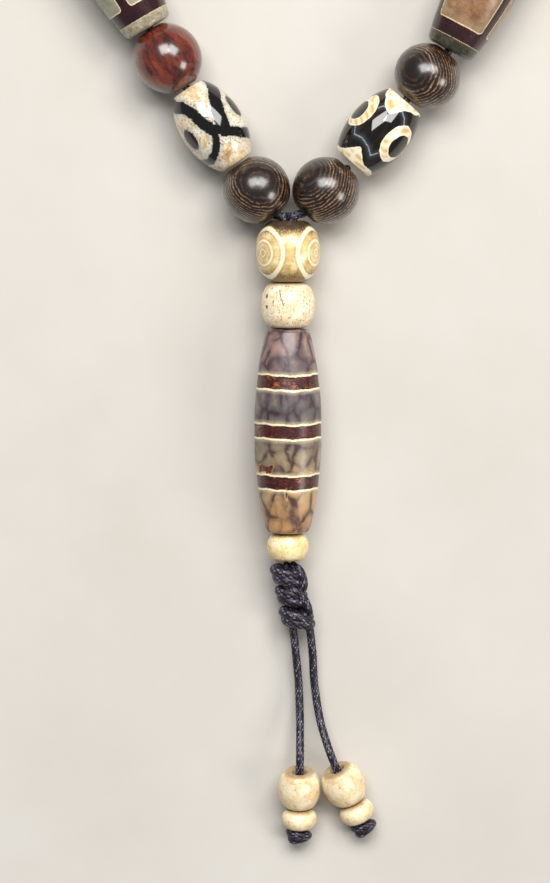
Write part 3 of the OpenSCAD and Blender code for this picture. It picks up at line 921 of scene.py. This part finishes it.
def end_knot(side):
    """A small overhand knot, pulled tight against the small bead."""
    low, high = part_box("end_knot_" + side)
    centre = np.array((low + high) / 2) / MM
    heading = 0 if side == "left" else 24.6
    away = np.array((math.sin(math.radians(heading)), -math.cos(math.radians(heading)), 0))
    rolls = [
        wrap("roll", centre - away * 0.35, (1.6, 1.55), -10, heading, 0.8, 1.05, 0.1),
        wrap("roll", centre + away * 0.35, (1.35, 1.35), 12, heading, 0.8, 1.05, 0.1, 160),
        braid("stub", smooth_path([centre - away * 1.0, centre + away * 0.2 + (0.2, 0, 0.2),
                                   centre + away * 1.0 + (0.2, 0, 0.1)], 0.15), radius=0.7),
    ]
    knot = join("end_knot_" + side + "_detail", rolls)
    knot.data.materials.append(MATERIALS["cord"])
    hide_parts("end_knot_" + side)
    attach(knot, "tail_" + side)
    return knot


# The strand that crosses each knot and runs down its right side, from the knot's middle
KNOT_STRANDS = {
    "knot_upper": [(0.7, 1.2, 0.8), (1.8, 0.6, 1.7), (2.45, -0.8, 1.9), (2.6, -2.3, 1.6), (2.1, -3.6, 0.2)],
    "knot_middle": [(-1.5, 1.7, 1.6), (0.4, 0.7, 2.5), (1.9, -0.8, 2.1), (2.7, -2.6, 1.9), (2.9, -4.2, 0.8)],
    "knot_lower": [(-2.1, 0.9, 1.2), (-0.7, 0.1, 2.5), (0.9, -0.9, 2.5), (2.2, -1.9, 1.0)],
}


def stacked_knots():
    """Three knots, each of two fat leaning rolls, two cords through the middle and one crossing strand."""
    for node, strand in KNOT_STRANDS.items():
        low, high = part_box(node)
        centre = np.array((low + high) / 2) / MM
        reach = (high.x - low.x) / MM / 2 - 0.85
        rise = (high.z - low.z) / MM / 2 - 0.85
        rolls = [
            wrap("roll", centre + (-0.3, 0.12, 0.05), (reach * 0.93, rise), -14, 0, 1.0, 1.1, 0.2, 200),
            wrap("roll", centre + (0.05, -1.15, 0), (reach * 0.9, rise * 0.95), -11, 0, 0.98, 1.1, 0.3, 150),
            braid("core", smooth_path([centre + (-0.5, 1.95, 0), centre + (-0.4, 0, 0.2),
                                       centre + (-0.5, -2.1, -0.1)], 0.2), radius=0.85),
            braid("core", smooth_path([centre + (0.7, 1.95, 0), centre + (0.9, 0, 0.2),
                                       centre + (1.3, -2.1, -0.1)], 0.2), radius=0.85),
            braid("strand", smooth_path([centre + p for p in strand], 0.13), radius=0.8),
        ]
        knot = join(node + "_detail", rolls)
        knot.data.materials.append(MATERIALS["cord"])
        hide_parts(node)
        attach(knot, BODY_OF[node])


def yoke():
    """The two cords that come together at the guru bead and run down the pendant."""
    paths = [smooth_path(laid_out(route), 0.14) for route in (YOKE_LEFT, YOKE_RIGHT)]
    cord = join("cord_yoke_detail", [braid("yoke", path, around=24) for path in paths])
    cord.data.materials.append(MATERIALS["cord"])
    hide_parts("cord_yoke")
    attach(cord, "yoke")


LOOP_CORD_HEIGHT = 6
# How far inside the first and the last bead a run's cord ends
CORD_INSET = 0.2


def run_cord(node, beads):
    """The cord through a run of beads, by way of the gaps between them."""
    places = [np.array(spin_place(b)[0]) / MM for b in beads]
    axes = [np.array(spin_place(b)[1]) for b in beads]
    halves = [measure(b, *spin_place(b))[0] / 2 for b in beads]
    starts = [place - axis * half for place, axis, half in zip(places, axes, halves)]
    ends = [place + axis * half for place, axis, half in zip(places, axes, halves)]
    gaps = [(end + start) / 2 for end, start in zip(ends, starts[1:])]
    points = np.array([starts[0] + axes[0] * CORD_INSET] + gaps + [ends[-1] - axes[-1] * CORD_INSET])
    points[:, 2] = LOOP_CORD_HEIGHT
    dense = [points[0]]
    for a, b in zip(points, points[1:]):
        dense += [a + (b - a) * f for f in np.linspace(0, 1, max(3, int(np.linalg.norm(b - a) / 2)))[1:]]
    cord = braid(node + "_detail", smooth_path(dense, 0.3), around=16)
    cord.data.materials.append(MATERIALS["cord"])
    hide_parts(node)
    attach(cord, BODY_OF[node])


# The beads on each length of the loop's cord, in order
RUNS = {
    "cord_left_lower": ["agate_left_1", "rosewood_left_1", "dzi_left_1", "wenge_left_2",
                        "agate_left_2", "rosewood_left_2"],
    "cord_left_upper": ["dzi_left_2", "wenge_left_3", "agate_left_3", "rosewood_left_3", "dzi_left_3"],
    "cord_top": ["wenge_top_left", "agate_top", "rosewood_top_right"],
    "cord_right_lower": ["agate_right_1", "wenge_right_2", "dzi_right_1", "rosewood_right_2",
                         "agate_right_2", "wenge_right_3"],
    "cord_right_upper": ["dzi_right_2", "rosewood_right_3", "agate_right_3", "wenge_right_4", "dzi_right_3"],
}


# ---------------------------------------------------------------- floor and light
FLOOR_REACH = 3000
WINDOW_PANE = (440, 420)
WINDOW_DISTANCE = 900
WINDOW_POWER = 5.6
WINDOW_TINT = (1.0, 0.99, 0.97)
SKY_COLOUR = (0.9, 0.93, 1.0, 1)
SKY_STRENGTH = 0.26


def floor():
    corners = [(-FLOOR_REACH, -FLOOR_REACH, 0), (FLOOR_REACH, -FLOOR_REACH, 0),
               (FLOOR_REACH, FLOOR_REACH, 0), (-FLOOR_REACH, FLOOR_REACH, 0)]
    obj = link_mesh("floor", corners, [(0, 1, 2, 3)], smooth=False)
    p = Paint("floor_look", 0.75, specular=0.25)
    p.base(p.ramp(p.noise(0.02, 4.0, 0.6), (0.3, "#c0bbb3"), (0.7, "#c9c5be")))
    obj.data.materials.append(p.material)


def area_light(name, direction, distance, size, power, tint):
    """A soft light at a direction from the pendant, facing it."""
    data = bpy.data.lights.new(name, "AREA")
    data.shape = "RECTANGLE"
    data.size, data.size_y = size[0] * MM, size[1] * MM
    data.energy = power
    data.color = tint
    light = bpy.data.objects.new(name, data)
    bpy.context.scene.collection.objects.link(light)
    way = Vector(direction).normalized()
    light.location = (Vector(LOOK_AT) + way * distance) * MM
    light.rotation_euler = way.to_track_quat("Z", "Y").to_euler()


def lights():
    # A wide window in two panes, north of the mala, and a weak fill from the south-east
    for name, direction in (("window_left", (-0.2, 0.62, 1.0)), ("window_right", (0.36, 0.62, 1.0))):
        area_light(name, direction, WINDOW_DISTANCE, WINDOW_PANE, WINDOW_POWER, WINDOW_TINT)
    area_light("fill", (1.4, -0.45, 1.0), 1100, (360, 360), 4.0, (1.0, 0.95, 0.88))
    world = bpy.data.worlds.new("world")
    world.use_nodes = True
    background = world.node_tree.nodes["Background"]
    background.inputs["Color"].default_value = SKY_COLOUR
    background.inputs["Strength"].default_value = SKY_STRENGTH
    bpy.context.scene.world = world
    bpy.context.scene.view_settings.view_transform = "Standard"


make_camera()
tails()
yoke()
for cord_node, run in RUNS.items():
    run_cord(cord_node, run)
stacked_knots()
wood_beads()
stone_beads()
pendant_beads()
tail_beads()
floor()
lights()
